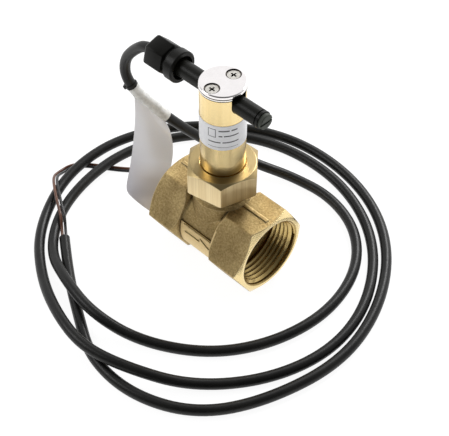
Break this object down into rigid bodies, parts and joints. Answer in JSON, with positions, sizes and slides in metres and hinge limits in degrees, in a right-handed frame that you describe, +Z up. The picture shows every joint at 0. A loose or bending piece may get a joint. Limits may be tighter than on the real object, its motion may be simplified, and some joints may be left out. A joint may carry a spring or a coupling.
{
  "type": "paddle flow switch",
  "caption": "Brass pipe tee with a tube on its branch that holds a pivoted paddle and magnet, and a reed contact in a rod across the tube's head, with a coiled lead.",
  "frame": {"origin": "on the tee's lower flats, straight below the axis of the sensor tube", "axes": "+X along the pipe in the direction of flow, out of the outlet; +Z up along the sensor tube"},
  "size_m": [0.1786, 0.1692, 0.1019],
  "materials": {
    "cast_brass": "grainy casting with bright turned ends",
    "machined_brass": "fine machined",
    "polished_brass": "polished",
    "nickel": "polished",
    "screw_steel": "bright",
    "type_film": "matt film",
    "flag_film": "satin film",
    "seal_rubber": "matt",
    "carrier_plastic": "matt",
    "stainless": "fine brushed",
    "magnet": "ground ferrite",
    "rod_plastic": "satin",
    "plug_plastic": "satin",
    "gland_plastic": "fine moulded grain",
    "reed_glass": "clear",
    "lead_metal": "tinned",
    "core_plastic": "satin",
    "jacket_pvc": "satin",
    "brown_pvc": "satin",
    "black_pvc": "satin"
  },
  "bodies": {
    "body": {"pipe_tee": "cast_brass", "union_nut": "machined_brass", "union_seal": "seal_rubber", "sensor_housing": "polished_brass", "clamp_plate": "nickel", "clamp_screws": "screw_steel", "type_label": "type_film", "paddle_carrier": "carrier_plastic", "pivot_pin": "stainless", "magnet_seat": "carrier_plastic", "return_magnet": "magnet"},
    "paddle": {"paddle_lever": "carrier_plastic", "paddle_blade": "stainless", "blade_rivets": "stainless", "paddle_magnet": "magnet"},
    "reed_slider": {"reed_carrier": "rod_plastic", "end_plug": "plug_plastic", "reed_sleeve": "carrier_plastic", "reed_capsule": "reed_glass", "reed_leads": "lead_metal", "cable_cores": "core_plastic", "gland_body": "gland_plastic", "gland_seal": "seal_rubber", "gland_nut": "gland_plastic", "cable_jacket": "jacket_pvc", "wire_brown": "brown_pvc", "wire_black": "black_pvc", "cable_flag": "flag_film"}
  },
  "joints": [
    {"name": "paddle_swing", "type": "hinge", "parent": "body", "child": "paddle", "pos_m": [0, 0, 0.045], "axis": [0, 1, 0], "range_deg": [-14, 0], "stiffness_Nm_per_rad": 0.004, "springref_deg": 8.59},
    {"name": "switch_point_slide", "type": "slide", "parent": "body", "child": "reed_slider", "axis": [1, 0, 0], "range_m": [-0.006, 0.006]}
  ]
}
